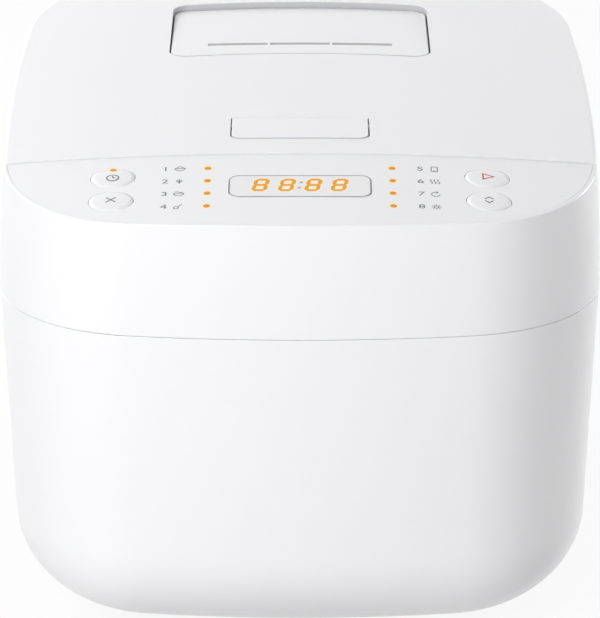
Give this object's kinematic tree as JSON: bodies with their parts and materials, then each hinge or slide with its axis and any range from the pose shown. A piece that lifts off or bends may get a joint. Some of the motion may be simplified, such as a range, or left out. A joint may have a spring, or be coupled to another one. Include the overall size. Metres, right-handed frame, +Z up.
{
  "type": "rice cooker",
  "caption": "Rounded electric rice cooker with a hinged lid, a latch paddle, a lift-off steam vent, a sloping key panel with display, and a pot on a heating plate.",
  "frame": {"origin": "on the ground under the middle of the body", "axes": "+Z up, the front with the control panel faces -Y, +X to the right seen from the front"},
  "size_m": [0.262, 0.33, 0.2201],
  "materials": {
    "shell_plastic": "satin white moulded plastic",
    "band_plastic": "white moulded plastic with a soft gloss",
    "panel_plastic": "fine matt white plastic",
    "lid_plastic": "satin white moulded plastic",
    "key_plastic": "matt white plastic",
    "window_plastic": "white translucent window",
    "lens_amber": "amber light guide",
    "digit_module": "dark digit module",
    "board_green": "circuit board",
    "dark_plastic": "black moulded plastic",
    "grey_plastic": "light grey moulded plastic",
    "liner_plastic": "pale grey moulded plastic",
    "rubber_grey": "grey rubber",
    "silicone": "pale silicone rubber",
    "screw_steel": "zinc plated steel",
    "spring_steel": "spring steel",
    "liner_metal": "aluminised sheet",
    "cast_metal": "cast aluminium",
    "pot_coating": "dark non-stick coating on aluminium",
    "inner_lid_metal": "satin aluminium",
    "band_foil": "foil heater band",
    "brass": "plated brass blade",
    "ceramic_white": "white sleeve"
  },
  "bodies": {
    "base": {"outer_shell": "shell_plastic", "base_plate": "grey_plastic", "rubber_feet": "rubber_grey", "base_screws": "screw_steel", "cavity_liner": "liner_metal", "side_heater_band": "band_foil", "heating_plate": "cast_metal", "heater_element": "screw_steel", "heater_posts": "screw_steel", "thermal_fuse": "ceramic_white", "sensor_sleeve": "liner_metal", "sensor_spring": "spring_steel", "inner_pot": "pot_coating", "power_board": "board_green", "board_standoffs": "grey_plastic", "power_board_screws": "screw_steel", "transformer": "dark_plastic", "relay": "dark_plastic", "capacitors": "dark_plastic", "inlet_socket": "dark_plastic", "inlet_pins": "brass", "inlet_screws": "screw_steel", "upper_collar": "band_plastic", "latch_catch": "liner_plastic", "catch_screws": "screw_steel", "control_panel": "panel_plastic", "display_window": "window_plastic", "indicator_lenses": "lens_amber", "display_board": "board_green", "digit_display": "digit_module", "key_switches": "dark_plastic", "board_screws": "screw_steel", "hinge_pin": "screw_steel", "hinge_springs": "spring_steel"},
    "lid": {"lid_cover": "lid_plastic", "lid_liner": "liner_plastic", "lid_screws": "screw_steel", "inner_lid_plate": "inner_lid_metal", "inner_lid_gasket": "silicone", "inner_lid_clip": "silicone", "steam_tube": "liner_plastic", "steam_seal": "silicone", "lid_sensor": "screw_steel", "hinge_bushes": "grey_plastic", "release_pivot_pin": "screw_steel", "release_spring": "spring_steel"},
    "vent": {"vent_cover": "lid_plastic", "vent_tray": "liner_plastic", "vent_seal": "silicone"},
    "release": {"release_button": "lid_plastic", "latch_hook": "liner_plastic"},
    "timer_key": {"key_upper_left": "key_plastic", "timer_light": "lens_amber"},
    "cancel_key": {"key_lower_left": "key_plastic"},
    "start_key": {"key_upper_right": "key_plastic"},
    "select_key": {"key_lower_right": "key_plastic"},
    "sensor": {"sensor_plunger": "cast_metal"}
  },
  "joints": [
    {"name": "lid_hinge", "type": "hinge", "parent": "base", "child": "lid", "pos_m": [0, 0.132, 0.20542], "axis": [-1, 0, 0], "range_deg": [0, 90]},
    {"name": "vent_lift", "type": "slide", "parent": "lid", "child": "vent", "axis": [0, 0, 1], "range_m": [0, 0.04]},
    {"name": "release_tilt", "type": "hinge", "parent": "lid", "child": "release", "pos_m": [0, -0.0574, 0.20902], "axis": [1, 0, 0], "range_deg": [0, 8], "stiffness_Nm_per_rad": 0.4, "springref_deg": -5.73, "deforming": ["release_spring"]},
    {"name": "timer_press", "type": "slide", "parent": "base", "child": "timer_key", "axis": [-0.0478, -0.1588, 0.9861], "range_m": [-0.0007, 0], "stiffness_N_per_m": 400, "springref_m": 0.001},
    {"name": "cancel_press", "type": "slide", "parent": "base", "child": "cancel_key", "axis": [-0.0478, -0.1588, 0.9861], "range_m": [-0.0007, 0], "stiffness_N_per_m": 400, "springref_m": 0.001},
    {"name": "start_press", "type": "slide", "parent": "base", "child": "start_key", "axis": [0.0478, -0.1588, 0.9861], "range_m": [-0.0007, 0], "stiffness_N_per_m": 400, "springref_m": 0.001},
    {"name": "select_press", "type": "slide", "parent": "base", "child": "select_key", "axis": [0.0478, -0.1588, 0.9861], "range_m": [-0.0007, 0], "stiffness_N_per_m": 400, "springref_m": 0.001},
    {"name": "sensor_press", "type": "slide", "parent": "base", "child": "sensor", "axis": [0, 0, 1], "range_m": [-0.002, 0], "stiffness_N_per_m": 900, "springref_m": 0.002, "deforming": ["sensor_spring"]}
  ]
}
